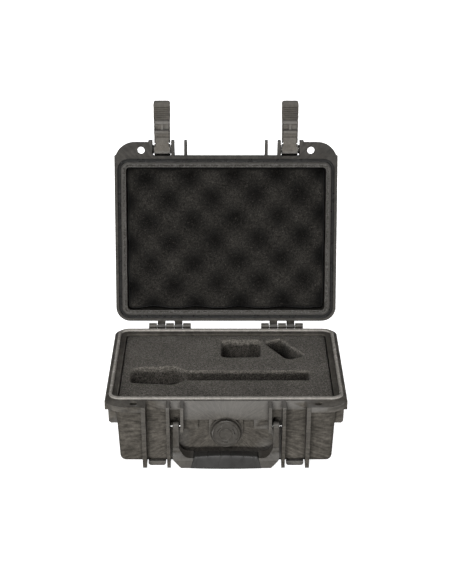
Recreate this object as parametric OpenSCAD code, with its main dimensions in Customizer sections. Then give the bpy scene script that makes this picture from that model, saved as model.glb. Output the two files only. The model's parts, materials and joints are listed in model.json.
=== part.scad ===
/* [Case] */
// Width of the rim, side to side
rim_w = 233; // [215:1:260]
// Depth of the rim, front to hinge side, without the padlock corners
rim_d = 176; // [164:1:200]
// Height from the table to the plane where base and lid meet
base_h = 74; // [72:1:90]
// Height of the lid above that plane
lid_h = 38; // [36:1:50]
// Thickness of the moulded walls
wall_t = 2.8; // [2.2:0.1:3.4]
// Lean of the side walls, in degrees, narrower away from the rim
draft = 3; // [1:0.5:4]
// Radius of the inner wall's corners
inner_r = 4; // [3:0.5:6]
// Radius of the edge round the underside and round the lid's top
edge_r = 6; // [4:0.5:7]
// Height of the underside above the table
stand_gap = 2.2; // [1.6:0.1:3]
// How far the lid stands open, in degrees
lid_angle = 100.3; // [92:0.1:104]

/* [Rim] */
// Width of the rim, from its outer edge to the inner wall
rim_in = 11.9; // [10.5:0.1:13]
// Height of the rim band on each half
band_h = 9; // [8:0.5:10]
// Radius of the rim's corners on the hinge side
rim_r = 15; // [10:0.5:18]
// Distance from the rim's outer edge to the tongue's middle
tongue_in = 4.8; // [4.2:0.1:5.4]
// Width of the sealing tongue
tongue_w = 3; // [2.4:0.1:3.4]
// Height of the sealing tongue above the meeting plane
tongue_h = 2; // [1.4:0.1:2.5]
// Gap between the two rims when the case is closed
rim_gap = 0.3; // [0.2:0.05:0.5]
// Thickness of the gasket
gasket_h = 2.8; // [2:0.1:3.2]
// How far the step inside the tongue lies below the meeting plane
step_drop = 1; // [0.5:0.1:1.5]

/* [Padlock corners] */
// How far the corners reach in front of the rim
corner_out = 14.3; // [13:0.1:16]
// Thickness of the padlock corners
corner_t = 5.3; // [4:0.1:6]
// Radius of the padlock corners
corner_r = 21; // [16:0.5:24]
// Radius of the padlock eyes
eye_r = 3.8; // [3:0.1:4.5]
// Distance of the padlock eyes from the case's middle
eye_x = 88.5; // [86:0.5:94]
// How far the padlock eyes lie in front of the rim
eye_out = 5.7; // [5:0.1:7.5]

/* [Ribs] */
// Middle of the outer ribs, beside the latches
rib1_x = 79; // [78.6:0.1:80]
// Thickness of the outer ribs
rib1_t = 4; // [3:0.1:4.4]
// Middle of the ribs between latch and handle
rib2_x = 55.6; // [55:0.1:55.8]
// Thickness of the ribs between latch and handle
rib2_t = 3.3; // [2.6:0.1:3.6]
// Middle of the ribs inside the handle's arms
rib3_x = 42.2; // [41.6:0.1:42.6]
// Thickness of the ribs inside the handle's arms
rib3_t = 3; // [2.4:0.1:3.4]
// How far the ribs reach in front of the rim
rib_out = 15.6; // [15.2:0.1:17]
// Middle of the stiffening ribs on the sides, from the case's middle
side_rib_y = 63.5; // [50:0.5:66]
// Thickness of the stiffening ribs on the sides
side_rib_t = 5; // [3:0.5:8]

/* [Hinges] */
// How far the hinge axis lies behind the rim
hinge_out = 6.2; // [5.8:0.1:7.5]
// Distance from the case's middle to the inner end of each hinge
hinge_x = 37.4; // [30:0.1:50]
// Length of each hinge
hinge_len = 44.4; // [36:0.1:50]
// Outer radius of the hinge knuckles
knuckle_r = 3.9; // [3.4:0.1:4.2]
// Gap between neighbouring knuckles
knuckle_gap = 0.8; // [0.5:0.1:1.2]
// Radius of the hinge pins
hinge_pin_r = 1.5; // [1.2:0.1:1.8]

/* [Latches] */
// Middle of each latch, from the case's middle
latch_x = 66.6; // [66.2:0.1:67]
// Width of the latch lever
latch_w = 16.6; // [15:0.1:17.2]
// How far the latch pin lies in front of the rim
latch_out = 6; // [5.6:0.1:6.6]
// Height of the latch pin above the meeting plane
latch_up = 10; // [9.8:0.1:11]
// Radius of the latch pins
latch_pin_r = 1.6; // [1.3:0.1:1.9]
// Radius of the claw's barrel round its pin
barrel_r = 4.6; // [4.2:0.1:4.8]
// Reach of the latch from its pin to its tip
latch_len = 52.9; // [50:0.1:60]
// How far the latches stand open, in degrees from closed
latch_angle = 79.7; // [0:0.1:90]
// Distance from the latch pin to the link pin
link_down = 29.8; // [29:0.1:31]
// Radius of the link pins
link_pin_r = 1.25; // [1:0.05:1.4]
// How far the claw's hook reaches under the base's rim
hook_in = 4.2; // [3:0.1:5]
// Number of ridges on the pull
ridges = 7; // [5:1:8]

/* [Handle] */
// Middle of the handle's arms, from the case's middle
arm_x = 48.2; // [47.8:0.1:48.6]
// Thickness of the handle's arms
arm_t = 5.6; // [4.5:0.1:6]
// Depth of the handle pins below the meeting plane
handle_down = 25; // [24:0.1:27]
// How far the handle pins lie in front of the rim
handle_out = 4; // [3.6:0.1:5]
// Radius of the handle pins
handle_pin_r = 1.6; // [1.3:0.1:1.9]
// Distance from the handle pins down to the bottom of the grip
handle_len = 40.3; // [38:0.1:44]
// Height of the grip bar
grip_h = 11.4; // [9:0.1:12]
// Depth of the grip bar, front to back
grip_d = 17.2; // [14:0.1:18]
// Length of the soft grip along its top edge
grip_top = 61; // [50:1:66]
// How much longer the soft grip is along its bottom edge
grip_flare = 9; // [4:0.5:10]

/* [Valve] */
// Depth of the valve's middle below the meeting plane
valve_down = 34.6; // [33:0.1:37]
// How far the valve knob's face lies in front of the rim
valve_out = 2; // [1:0.1:3]
// Radius of the valve knob at its base
knob_r = 15.6; // [14:0.1:16]
// Thickness of the valve knob with its skirt
knob_h = 6.6; // [6.2:0.1:8]
// Radius of the valve's threaded shank
shank_r = 7; // [5:0.1:8]

/* [Foam] */
// How far the base foam's top lies below the meeting plane
foam_drop = 2; // [1.5:0.1:4]
// Thickness of the cut foam insert
insert_h = 36; // [32:1:40]
// Gap between foam and walls
foam_gap = 0.4; // [0.3:0.1:1]
// How far the lid foam's peaks lie inside the lid's rim
peak_in = 3.5; // [2.5:0.1:6]
// Height of the lid foam's waves, valley to peak
wave_h = 10; // [6:0.5:12]
// Distance between neighbouring peaks, side to side
wave_x = 46.4; // [36:0.1:56]
// Distance between neighbouring peaks, front to back
wave_y = 43; // [36:0.1:52]

/* [Pockets] */
// Left end of the long pocket, left of the case's middle
long_left = 95.5; // [90:0.5:98]
// Length of the long pocket
long_len = 178.5; // [150:0.5:182]
// How far the long pocket's axis lies in front of the case's middle
long_front = 24; // [20:0.5:34]
// Width of the head pocket at its wide end
head_w = 42; // [36:0.5:50]
// Length of the head pocket
head_len = 44; // [36:0.5:50]
// Depth of the head pocket
head_deep = 26; // [18:0.5:30]
// Width of the long pocket's narrow part
body_w = 22; // [18:0.5:28]
// Depth of the long pocket's narrow part
body_deep = 16; // [12:0.5:24]
// Depth of the two accessory pockets
side_deep = 28; // [18:0.5:30]

/* [Hidden] */
SIDES = [-1, 1];
$fn = 48;

// Clearance of a pin in a hole, all round
pin_fit = 0.05;
// Clearance between parts that pass each other
pass_fit = 0.35;
// Overlap that joins shapes of one piece
lap = 1;

case_colour = [0.33, 0.32, 0.30];
rib_colour = [0.36, 0.35, 0.33];
foam_colour = [0.22, 0.21, 0.20];
lid_foam_colour = [0.15, 0.15, 0.15];
rubber_colour = [0.24, 0.24, 0.23];
steel_colour = [0.75, 0.75, 0.76];

// Places of the rim and the walls
rim_front = -rim_d / 2;
rim_back = rim_d / 2;
inner_w = rim_w - 2 * rim_in;
inner_d = rim_d - 2 * rim_in;
outer_w = inner_w + 2 * wall_t;
outer_d = inner_d + 2 * wall_t;
outer_r = inner_r + wall_t;
floor_z = stand_gap + wall_t;
lid_rim_z = base_h + rim_gap;
lid_top = lid_rim_z + lid_h;
hinge_y = rim_back + hinge_out;
corner_x = rib1_x - rib1_t / 2;

// Half depth of the outer wall at a height below the meeting plane
function wall_y(down) = outer_d / 2 - down * tan(draft);

// A box with round corners that narrows away from z = 0 downwards, its lower edge rounded
module drafted_box(w, d, h, corner, edge) {
    lean = (h - edge) * tan(draft);
    hull() {
        for (sx = SIDES, sy = SIDES) {
            translate([sx * (w / 2 - corner), sy * (d / 2 - corner), -1])
                cylinder(r = corner, h = 1, $fn = 32);
            translate([sx * (w / 2 - lean - edge), sy * (d / 2 - lean - edge), -h + edge])
                sphere(r = edge, $fn = 32);
        }
    }
}

// A flat box with round corners that narrows downwards, for the foam
module drafted_block(w, d, h, corner) {
    lean = h * tan(draft);
    hull() {
        for (sx = SIDES, sy = SIDES) {
            translate([sx * (w / 2 - corner), sy * (d / 2 - corner), -1])
                cylinder(r = corner, h = 1, $fn = 24);
            translate([sx * (w / 2 - lean - corner), sy * (d / 2 - lean - corner), -h])
                cylinder(r = corner, h = 1, $fn = 24);
        }
    }
}

// A rectangle with round corners, centred
module round_rect(w, d, r) {
    square([w - 2 * r, d], center = true);
    square([w, d - 2 * r], center = true);
    for (sx = SIDES, sy = SIDES)
        translate([sx * (w / 2 - r), sy * (d / 2 - r)])
            circle(r = r);
}

// A band that follows the rim at an inset, of the given width
module rim_band(inset, width) {
    outer = inset - width / 2;
    inner = inset + width / 2;
    difference() {
        round_rect(rim_w - 2 * outer, rim_d - 2 * outer, rim_r - outer);
        round_rect(rim_w - 2 * inner, rim_d - 2 * inner, max(rim_r - inner, 1));
    }
}

// The rim's outline: round corners at the hinge side, square ones where the padlock corners join
module rim_outline() {
    round_rect(rim_w, rim_d, rim_r);
    translate([-rim_w / 2, rim_front])
        square([rim_w, rim_d / 2]);
}

// The outline of one padlock corner, right side, with its eye
module corner_outline() {
    difference() {
        union() {
            translate([corner_x, rim_front - corner_out + corner_r])
                square([rim_w / 2 - corner_x, corner_out]);
            translate([corner_x, rim_front - corner_out])
                square([rim_w / 2 - corner_r - corner_x, corner_out + lap]);
            translate([rim_w / 2 - corner_r, rim_front - corner_out + corner_r])
                circle(r = corner_r);
        }
        translate([eye_x, rim_front - eye_out])
            circle(r = eye_r);
    }
}

// Draws its child on the right and mirrored on the left
module both_sides() {
    children();
    mirror([1, 0, 0])
        children();
}

// Extrudes a profile drawn in (y, z) along X, centred at x
module along_x(x, t) {
    translate([x - t / 2, 0, 0])
        rotate([90, 0, 90])
            linear_extrude(height = t)
                children();
}

// Outlines of the front ribs, drawn in (y, z)
module base_rib_outline(bottom, foot_out) {
    top_y = rim_front - rib_out;
    foot_y = -wall_y(base_h - bottom) - foot_out;
    end_r = 3;
    polygon([[-wall_y(0) + lap, base_h], [top_y, base_h], [top_y, base_h - corner_t],
        [foot_y - end_r + 0.4, bottom + end_r], [foot_y, bottom + end_r],
        [-wall_y(base_h - bottom) + lap + 2, bottom + end_r]]);
    translate([foot_y, bottom + end_r])
        circle(r = end_r);
}

module short_rib_outline(bottom) {
    top_y = rim_front - rib_out;
    end_r = 3;
    polygon([[-wall_y(0) + lap, base_h], [top_y, base_h], [top_y + 1, bottom + end_r],
        [top_y + 1 + end_r, bottom + end_r], [top_y + 1 + end_r, bottom],
        [-wall_y(base_h - bottom) + lap, bottom - 6]]);
    translate([top_y + 1 + end_r, bottom + end_r])
        circle(r = end_r);
}

module lid_rib_outline() {
    top_y = rim_front - rib_out;
    shoulder = lid_rim_z + latch_up + barrel_r + 1;
    end_z = lid_rim_z + lid_h - edge_r;
    end_r = 3;
    polygon([[-wall_y(0) + lap, lid_rim_z], [top_y, lid_rim_z], [top_y, shoulder - end_r],
        [top_y + end_r, shoulder], [-wall_y(lid_h - edge_r), end_z],
        [-wall_y(lid_h - edge_r) + lap + 1, end_z]]);
    translate([top_y + end_r, shoulder - end_r])
        circle(r = end_r);
}

// Width and place of the hinge knuckles, five to a hinge
knuckles = 5;
knuckle_w = (hinge_len - (knuckles - 1) * knuckle_gap) / knuckles;
function knuckle_mid(i) = hinge_x + knuckle_w / 2 + i * (knuckle_w + knuckle_gap);

module base_knuckles() {
    gusset = 20;
    for (i = [0 : 2 : knuckles - 1])
        along_x(knuckle_mid(i), knuckle_w) {
            translate([hinge_y, base_h])
                circle(r = knuckle_r);
            polygon([[wall_y(gusset) - lap, base_h - gusset], [wall_y(gusset), base_h - gusset],
                [hinge_y + knuckle_r * cos(45), base_h - knuckle_r * sin(45)],
                [hinge_y, base_h], [rim_back - lap, base_h], [wall_y(band_h) - lap, base_h - band_h]]);
        }
}

module lid_knuckles() {
    for (i = [1 : 2 : knuckles - 1])
        along_x(knuckle_mid(i), knuckle_w) {
            translate([hinge_y, base_h])
                circle(r = knuckle_r);
            polygon([[rim_back - lap, lid_rim_z], [hinge_y, lid_rim_z],
                [hinge_y + knuckle_r * cos(45), base_h + knuckle_r * sin(45)],
                [rim_back, lid_rim_z + band_h], [rim_back - lap, lid_rim_z + band_h]]);
        }
}

module hinge_bores() {
    translate([hinge_x - lap, hinge_y, base_h])
        rotate([0, 90, 0])
            cylinder(r = hinge_pin_r + pin_fit, h = hinge_len + 2 * lap);
}

// The plinth under the base and the frame on the lid that takes it when cases are stacked
plinth_w = inner_w - 60;
plinth_d = inner_d - 50;
plinth_r = 10;
frame_h = stand_gap;
frame_t = 8;
stack_gap = 1;

// Feet under the front and back walls, between the outer ribs
foot_w = 16.4;
foot_d = 12;
module feet() {
    for (sx = SIDES, sy = SIDES)
        translate([sx * (rib1_x + rib2_x) / 2 - sx * 0.6, sy * (wall_y(base_h) - edge_r - foot_d / 2), 0])
            rotate([90, 0, 0])
                translate([0, 0, -foot_d / 2])
                    linear_extrude(height = foot_d)
                        polygon([[-foot_w / 2 + 2, 0], [foot_w / 2 - 2, 0], [foot_w / 2, stand_gap],
                            [foot_w / 2, stand_gap + lap], [-foot_w / 2, stand_gap + lap],
                            [-foot_w / 2, stand_gap]]);
}

// The front of the base: name panel, left bare, pads beside it and the valve's boss
panel_h = 20;
pad_in = 27.2;
pad_h = 11.5;
pad_front = rim_front + 4;
boss_w = 32.8;
boss_front = rim_front - valve_out + knob_h + 0.4;
knob_room = 1.4;
module front_panel() {
    reach = lap + 3;
    difference() {
        translate([-rib3_x, rim_front, base_h - panel_h])
            cube([2 * rib3_x, -wall_y(panel_h) - rim_front + reach, panel_h - step_drop]);
        translate([0, boss_front, base_h - valve_down])
            rotate([90, 0, 0])
                cylinder(r = knob_r + knob_room, h = knob_h + valve_out);
    }
    both_sides()
        translate([pad_in, pad_front, base_h - panel_h - pad_h])
            cube([rib3_x - pad_in, -wall_y(panel_h) - pad_front + reach, pad_h + lap]);
    translate([0, boss_front, base_h - valve_down])
        rotate([-90, 0, 0])
            linear_extrude(height = -wall_y(valve_down) - boss_front + reach) {
                circle(r = boss_w / 2);
                translate([-boss_w / 2, -(valve_down - panel_h) - lap])
                    square([boss_w, valve_down - panel_h + lap]);
            }
}

module side_ribs() {
    reach = rim_w / 2 - 0.8;
    rib_down = 34;
    for (sx = SIDES, sy = SIDES)
        translate([sx * (outer_w / 2 - lap - 2), sy * side_rib_y, 0])
            rotate([90, 0, 0])
                translate([0, 0, -side_rib_t / 2])
                    linear_extrude(height = side_rib_t)
                        polygon([[0, base_h - lap], [sx * (reach - outer_w / 2 + lap + 2), base_h - lap],
                            [sx * (reach - outer_w / 2 + lap + 1), base_h - rib_down + 2],
                            [sx * (reach - outer_w / 2 + lap - 1), base_h - rib_down],
                            [0, base_h - rib_down]]);
}

// The round hole for a pin that lies along X
module pin_hole(x0, x1, y, z, r) {
    translate([x0, y, z])
        rotate([0, 90, 0])
            cylinder(r = r, h = x1 - x0);
}

// A steel pin along X with slightly rounded ends
module pin(x0, x1, y, z, r) {
    translate([x0, y, z])
        rotate([0, 90, 0])
            rotate_extrude()
                polygon([[0, 0], [r - 0.3, 0], [r, 0.3], [r, x1 - x0 - 0.3],
                    [r - 0.3, x1 - x0], [0, x1 - x0]]);
}

handle_y = rim_front - handle_out;
handle_z = base_h - handle_down;
valve_z = base_h - valve_down;

module base_shell() {
    color(case_colour)
        difference() {
            union() {
                translate([0, 0, base_h - step_drop])
                    drafted_box(outer_w, outer_d, base_h - step_drop - stand_gap, outer_r, edge_r);
                translate([0, 0, base_h - band_h])
                    linear_extrude(height = band_h)
                        rim_outline();
                translate([0, 0, base_h - corner_t])
                    linear_extrude(height = corner_t)
                        both_sides() corner_outline();
                translate([0, 0, base_h - lap])
                    linear_extrude(height = tongue_h + lap)
                        rim_band(tongue_in, tongue_w);
                both_sides() {
                    along_x(rib1_x, rib1_t) base_rib_outline(0.3, 9);
                    along_x(rib2_x, rib2_t) base_rib_outline(0.3, 9);
                    along_x(rib3_x, rib3_t) short_rib_outline(base_h - 29);
                    base_knuckles();
                }
                front_panel();
                side_ribs();
                feet();
                linear_extrude(height = stand_gap + lap)
                    round_rect(plinth_w, plinth_d, plinth_r);
            }
            translate([0, 0, base_h])
                drafted_box(inner_w, inner_d, base_h - floor_z, inner_r, edge_r - wall_t);
            translate([0, 0, base_h - step_drop])
                linear_extrude(height = step_drop + lap)
                    step_outline();
            both_sides() {
                hinge_bores();
                pin_hole(rib3_x - rib3_t, rib2_x + rib2_t, handle_y, handle_z, handle_pin_r + pin_fit);
            }
            translate([0, boss_front - lap, valve_z])
                rotate([-90, 0, 0])
                    cylinder(r = shank_r + pin_fit, h = 30);
        }
}

// The sunk step between the tongue and the inner wall
module step_outline() {
    inner = tongue_in + tongue_w / 2;
    round_rect(rim_w - 2 * inner, rim_d - 2 * inner, max(rim_r - inner, 1));
}

// Sets the closed lid's pieces into the open lid
module lid_open() {
    translate([0, hinge_y, base_h])
        rotate([-lid_angle, 0, 0])
            translate([0, -hinge_y, -base_h])
                children();
}

groove_w = tongue_w + 2 * 0.4;
groove_top = lid_rim_z + tongue_h + gasket_h;
latch_y = rim_front - latch_out;
latch_z = base_h + latch_up;

module latch_bosses() {
    for (side = SIDES) {
        inner = latch_x + side * (latch_w / 2 + pass_fit);
        outer = side > 0 ? rib1_x : rib2_x;
        translate([min(inner, outer), latch_y, latch_z])
            rotate([0, 90, 0])
                cylinder(r = barrel_r, h = abs(outer - inner));
    }
}

module lid_shell() {
    color(case_colour)
        lid_open()
            difference() {
                union() {
                    translate([0, 0, lid_rim_z])
                        mirror([0, 0, 1])
                            drafted_box(outer_w, outer_d, lid_h, outer_r, edge_r);
                    translate([0, 0, lid_rim_z])
                        linear_extrude(height = band_h)
                            rim_outline();
                    translate([0, 0, lid_rim_z])
                        linear_extrude(height = corner_t)
                            both_sides() corner_outline();
                    both_sides() {
                        along_x(rib1_x, rib1_t) lid_rib_outline();
                        along_x(rib2_x, rib2_t) lid_rib_outline();
                        along_x(rib3_x, rib3_t) lid_rib_outline();
                        lid_knuckles();
                        latch_bosses();
                    }
                    translate([0, 0, lid_top - lap])
                        linear_extrude(height = frame_h + lap)
                            difference() {
                                round_rect(plinth_w + 2 * (frame_t + stack_gap),
                                    plinth_d + 2 * (frame_t + stack_gap), plinth_r + frame_t);
                                round_rect(plinth_w + 2 * stack_gap, plinth_d + 2 * stack_gap, plinth_r);
                            }
                }
                translate([0, 0, lid_rim_z])
                    mirror([0, 0, 1])
                        drafted_box(inner_w, inner_d, lid_h - wall_t, inner_r, edge_r - wall_t);
                translate([0, 0, lid_rim_z - lap])
                    linear_extrude(height = groove_top - lid_rim_z + lap)
                        rim_band(tongue_in, groove_w);
                both_sides() {
                    hinge_bores();
                    pin_hole(rib2_x - rib2_t, rib1_x + rib1_t, latch_y, latch_z,
                        latch_pin_r + pin_fit);
                }
            }
}

module lid_gasket() {
    bead = 0.8;
    color(rubber_colour)
        lid_open()
            translate([0, 0, groove_top - gasket_h]) {
                translate([0, 0, bead])
                    linear_extrude(height = gasket_h - bead)
                        rim_band(tongue_in, groove_w - 0.1);
                linear_extrude(height = gasket_h)
                    rim_band(tongue_in, groove_w - 1.4);
            }
}

// The outline of the long pocket: head, shoulder and narrow body, its left end at x = 0
module head_outline() {
    end_r = 7;
    end_w = head_w - 6;
    shoulder = 12;
    hull() {
        for (sy = SIDES)
            translate([end_r, sy * (end_w / 2 - end_r)])
                circle(r = end_r, $fn = 24);
        translate([head_len - 4, -head_w / 2])
            square([4, head_w]);
    }
    polygon([[head_len - lap, -head_w / 2], [head_len, -head_w / 2],
        [head_len + shoulder, -body_w / 2], [head_len + shoulder, body_w / 2],
        [head_len, head_w / 2], [head_len - lap, head_w / 2]]);
}

module body_outline() {
    end_r = 3;
    translate([head_len, -body_w / 2])
        square([long_len - head_len - end_r, body_w]);
    hull()
        for (sy = SIDES)
            translate([long_len - end_r, sy * (body_w / 2 - end_r)])
                circle(r = end_r, $fn = 16);
}

// Outlines of the two accessory pockets behind the long one
mount_x = 15.5;
mount_y = 42;
mount_w = 41;
mount_d = 44;
clip_x = 60;
clip_y = 41;
clip_w = 21;
clip_len = 50;
clip_turn = 28;
module mount_outline() {
    translate([mount_x, mount_y])
        round_rect(mount_w, mount_d, 6);
}

module clip_outline() {
    translate([clip_x, clip_y])
        rotate(clip_turn)
            round_rect(clip_w, clip_len, 6);
}

foam_top = base_h - foam_drop;
foam_w = inner_w - 2 * foam_gap;
foam_d = inner_d - 2 * foam_gap;
insert_bottom = foam_top - insert_h;
long_place = [-long_left, -long_front];

module pocket(depth) {
    translate([0, 0, foam_top - depth])
        linear_extrude(height = depth + lap)
            children();
}

// Room in the foam for the valve's nut
nut_h = 5;
nut_r = 12;
module nut_room() {
    translate([-nut_r - 2, -inner_d / 2 - lap, valve_z - nut_r - 2])
        cube([2 * nut_r + 4, nut_h + 6, 2 * nut_r + 4]);
}

module base_foam() {
    color(foam_colour)
        difference() {
            intersection() {
                translate([0, 0, base_h])
                    drafted_block(foam_w, foam_d, base_h - floor_z, inner_r);
                translate([-rim_w / 2, -rim_d / 2, insert_bottom])
                    cube([rim_w, rim_d, insert_h]);
            }
            pocket(head_deep) translate(long_place) head_outline();
            pocket(body_deep) translate(long_place) body_outline();
            pocket(side_deep) mount_outline();
            pocket(side_deep) clip_outline();
            nut_room();
        }
}

module base_foam_pad() {
    sheet_gap = 0.3;
    color(foam_colour)
        difference() {
            intersection() {
                translate([0, 0, base_h])
                    drafted_box(foam_w, foam_d, base_h - floor_z - sheet_gap, inner_r, edge_r - wall_t);
                translate([-rim_w / 2, -rim_d / 2, floor_z + sheet_gap])
                    cube([rim_w, rim_d, insert_bottom - floor_z - 2 * sheet_gap]);
            }
            nut_room();
        }
}

// The lid foam's face, a sheet of waves with its edge pulled onto the round corners
cols = 36;
rows = 24;
lid_foam_w = foam_w;
lid_foam_d = foam_d;
lid_foam_r = inner_r;
lid_foam_back = lid_top - wall_t - 0.4;
lid_foam_edge = edge_r - wall_t;

function pull(p, w, d, r) =
    let (cx = w / 2 - r, cy = d / 2 - r,
        ox = max(abs(p[0]) - cx, 0), oy = max(abs(p[1]) - cy, 0), far = norm([ox, oy]))
    (ox > 0 && oy > 0 && far > r)
        ? [sign(p[0]) * (cx + ox * r / far), sign(p[1]) * (cy + oy * r / far)]
        : p;

function wave(x, y) =
    lid_rim_z + peak_in + wave_h / 2 * (1 - cos(360 * x / wave_x) * cos(360 * y / wave_y));

function face_point(i, j) =
    let (w = lid_foam_w - 2 * wave_lean, d = lid_foam_d - 2 * wave_lean,
        p = pull([(i / cols - 0.5) * w, (j / rows - 0.5) * d], w, d, lid_foam_r))
    [p[0], p[1], wave(p[0], p[1])];

wave_lean = (peak_in + wave_h) * tan(draft);

// The same point further back at a height z, drawn in by the wall's lean and a chamfer
function back_point(p, z, chamfer) =
    let (inset = (z - lid_rim_z) * tan(draft) + chamfer,
        sx = (lid_foam_w - 2 * inset) / (lid_foam_w - 2 * wave_lean),
        sy = (lid_foam_d - 2 * inset) / (lid_foam_d - 2 * wave_lean))
    [p[0] * sx, p[1] * sy, z];

// Grid places round the sheet's edge, anticlockwise
edge_steps = concat(
    [for (i = [0 : cols - 1]) [i, 0]], [for (j = [0 : rows - 1]) [cols, j]],
    [for (i = [cols : -1 : 1]) [i, rows]], [for (j = [rows : -1 : 1]) [0, j]]);

module lid_foam() {
    wide = cols + 1;
    face = [for (j = [0 : rows], i = [0 : cols]) face_point(i, j)];
    edge = [for (s = edge_steps) face_point(s[0], s[1])];
    side = [for (p = edge) back_point(p, lid_foam_back - lid_foam_edge, 0)];
    back = [for (p = edge) back_point(p, lid_foam_back, lid_foam_edge)];
    count = len(edge_steps);
    side_start = len(face);
    back_start = side_start + count;
    middle = back_start + count;
    face_tris = [for (j = [0 : rows - 1], i = [0 : cols - 1], half = [0, 1])
        let (a = j * wide + i, b = a + 1, c = a + wide, e = c + 1)
        half == 0 ? [a, b, e] : [a, e, c]];
    side_tris = [for (k = [0 : count - 1], half = [0, 1])
        let (n = (k + 1) % count, a = edge_steps[k][1] * wide + edge_steps[k][0],
            b = edge_steps[n][1] * wide + edge_steps[n][0])
        half == 0 ? [a, side_start + k, side_start + n] : [a, side_start + n, b]];
    chamfer_tris = [for (k = [0 : count - 1], half = [0, 1])
        let (n = (k + 1) % count)
        half == 0 ? [side_start + k, back_start + k, back_start + n]
            : [side_start + k, back_start + n, side_start + n]];
    back_tris = [for (k = [0 : count - 1]) [back_start + (k + 1) % count, back_start + k, middle]];
    color(lid_foam_colour)
        lid_open()
            polyhedron(concat(face, side, back, [[0, 0, lid_foam_back]]),
                concat(face_tris, side_tris, chamfer_tris, back_tris));
}

module hinge_pin(side) {
    color(steel_colour)
        pin(side * (hinge_x + hinge_len / 2) - hinge_len / 2 + 0.2,
            side * (hinge_x + hinge_len / 2) + hinge_len / 2 - 0.2, hinge_y, base_h, hinge_pin_r);
}

// Sets a latch's pieces, drawn closed about their pin, onto the open lid
module latch_open(side) {
    lid_open()
        translate([side * latch_x, latch_y, latch_z])
            rotate([-latch_angle, 0, 0])
                children();
}

// Latch profiles in (y, z) about the latch pin, +y towards the case
side_t = 1.7;
skin_t = 2;
claw_w = latch_w - 2 * side_t - 2 * pass_fit;
plate_back = barrel_r;
plate_front = plate_back - 2.6;
hook_z = -(latch_up + band_h + rim_gap);
hook_t = 3.2;
hook_y = latch_out + hook_in;
link_y = plate_front;
link_r = link_pin_r + 1.2;
skin_y = plate_front - 5.8;
lever_top = -barrel_r - 1.4;
pull_top = -(link_down + link_r + 0.4);

module claw_body() {
    difference() {
        union() {
            along_x(0, claw_w) {
                circle(r = barrel_r);
                polygon([[plate_front, 0], [plate_back, 0], [plate_back, hook_z],
                    [hook_y - 1, hook_z], [hook_y, hook_z - 1], [hook_y, hook_z - hook_t],
                    [plate_front, hook_z - hook_t]]);
            }
            for (side = SIDES)
                along_x(side * claw_w / 8, 1.4)
                    polygon([[plate_front, hook_z - hook_t + lap], [plate_back, hook_z - hook_t + lap],
                        [plate_back - 0.6, -link_down], [plate_front, -link_down]]);
            along_x(0, claw_w)
                translate([link_y, -link_down])
                    circle(r = link_r);
        }
        pin_hole(-latch_w, latch_w, 0, 0, latch_pin_r + pin_fit);
        pin_hole(-latch_w, latch_w, link_y, -link_down, link_pin_r + pin_fit);
    }
}

module side_wall_outline() {
    polygon([[skin_y, lever_top], [plate_front + 0.2, lever_top], [plate_back - 0.6, hook_z - 1],
        [plate_back - 0.2, -link_down], [plate_back - 0.2, pull_top - lap],
        [skin_y, pull_top - lap]]);
}

// The pull: a slab with a rounded tip, thicker at its middle, ridged on the side that fingers reach
pull_w = latch_w + 0.7;
module pull_outline() {
    tip_r = 2.5;
    translate([-pull_w / 2, -latch_len + tip_r])
        square([pull_w, latch_len - tip_r + pull_top]);
    translate([-pull_w / 2 + tip_r, -latch_len])
        square([pull_w - 2 * tip_r, tip_r + lap]);
    for (side = SIDES)
        translate([side * (pull_w / 2 - tip_r), -latch_len + tip_r])
            circle(r = tip_r);
}

module pull_side_outline() {
    ridge_pitch = (latch_len + pull_top - 4) / ridges;
    polygon([[skin_y, pull_top], [skin_y - 0.6, -latch_len * 0.8], [skin_y - 0.2, -latch_len],
        [skin_y + 4.5, -latch_len], [plate_back - 1.6, -latch_len * 0.8],
        [plate_back - 0.2, pull_top - 1.5], [plate_back - 0.2, pull_top]]);
    for (i = [0 : ridges - 1])
        translate([plate_back - 1.7 - 0.12 * i, -latch_len + 2.8 + (ridges - 0.5 - i) * ridge_pitch])
            circle(r = ridge_pitch * 0.38, $fn = 24);
}

module lever_body() {
    difference() {
        union() {
            for (side = SIDES)
                along_x(side * (latch_w - side_t) / 2, side_t)
                    side_wall_outline();
            along_x(0, latch_w)
                polygon([[skin_y, lever_top], [skin_y + skin_t, lever_top],
                    [skin_y + skin_t, pull_top - lap], [skin_y, pull_top - lap]]);
            intersection() {
                along_x(0, pull_w)
                    pull_side_outline();
                translate([0, 20, 0])
                    rotate([90, 0, 0])
                        linear_extrude(height = 40)
                            pull_outline();
            }
        }
        pin_hole(-latch_w, latch_w, link_y, -link_down, link_pin_r + pin_fit);
    }
}

module latch_claw(side) {
    color(rib_colour)
        latch_open(side)
            claw_body();
}

module latch_lever(side) {
    color(rib_colour)
        latch_open(side)
            lever_body();
}

module latch_pin(side) {
    inner = rib2_x - rib2_t / 2 + 0.2;
    outer = rib1_x + rib1_t / 2 - 0.2;
    color(steel_colour)
        lid_open()
            mirror([side < 0 ? 1 : 0, 0, 0])
                pin(inner, outer, latch_y, latch_z, latch_pin_r);
}

module latch_link_pin(side) {
    color(steel_colour)
        latch_open(side)
            pin(-latch_w / 2 + 0.1, latch_w / 2 - 0.1, link_y, -link_down, link_pin_r);
}

// The handle hangs from its pins: a front outline crossed with a side outline
eye_arm_r = 4.6;
handle_bottom = handle_z - handle_len;
arm_outer = arm_x + arm_t / 2;
arm_inner = arm_x - arm_t / 2;
bar_top = handle_bottom + grip_h;
bow = 1.5;

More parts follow.
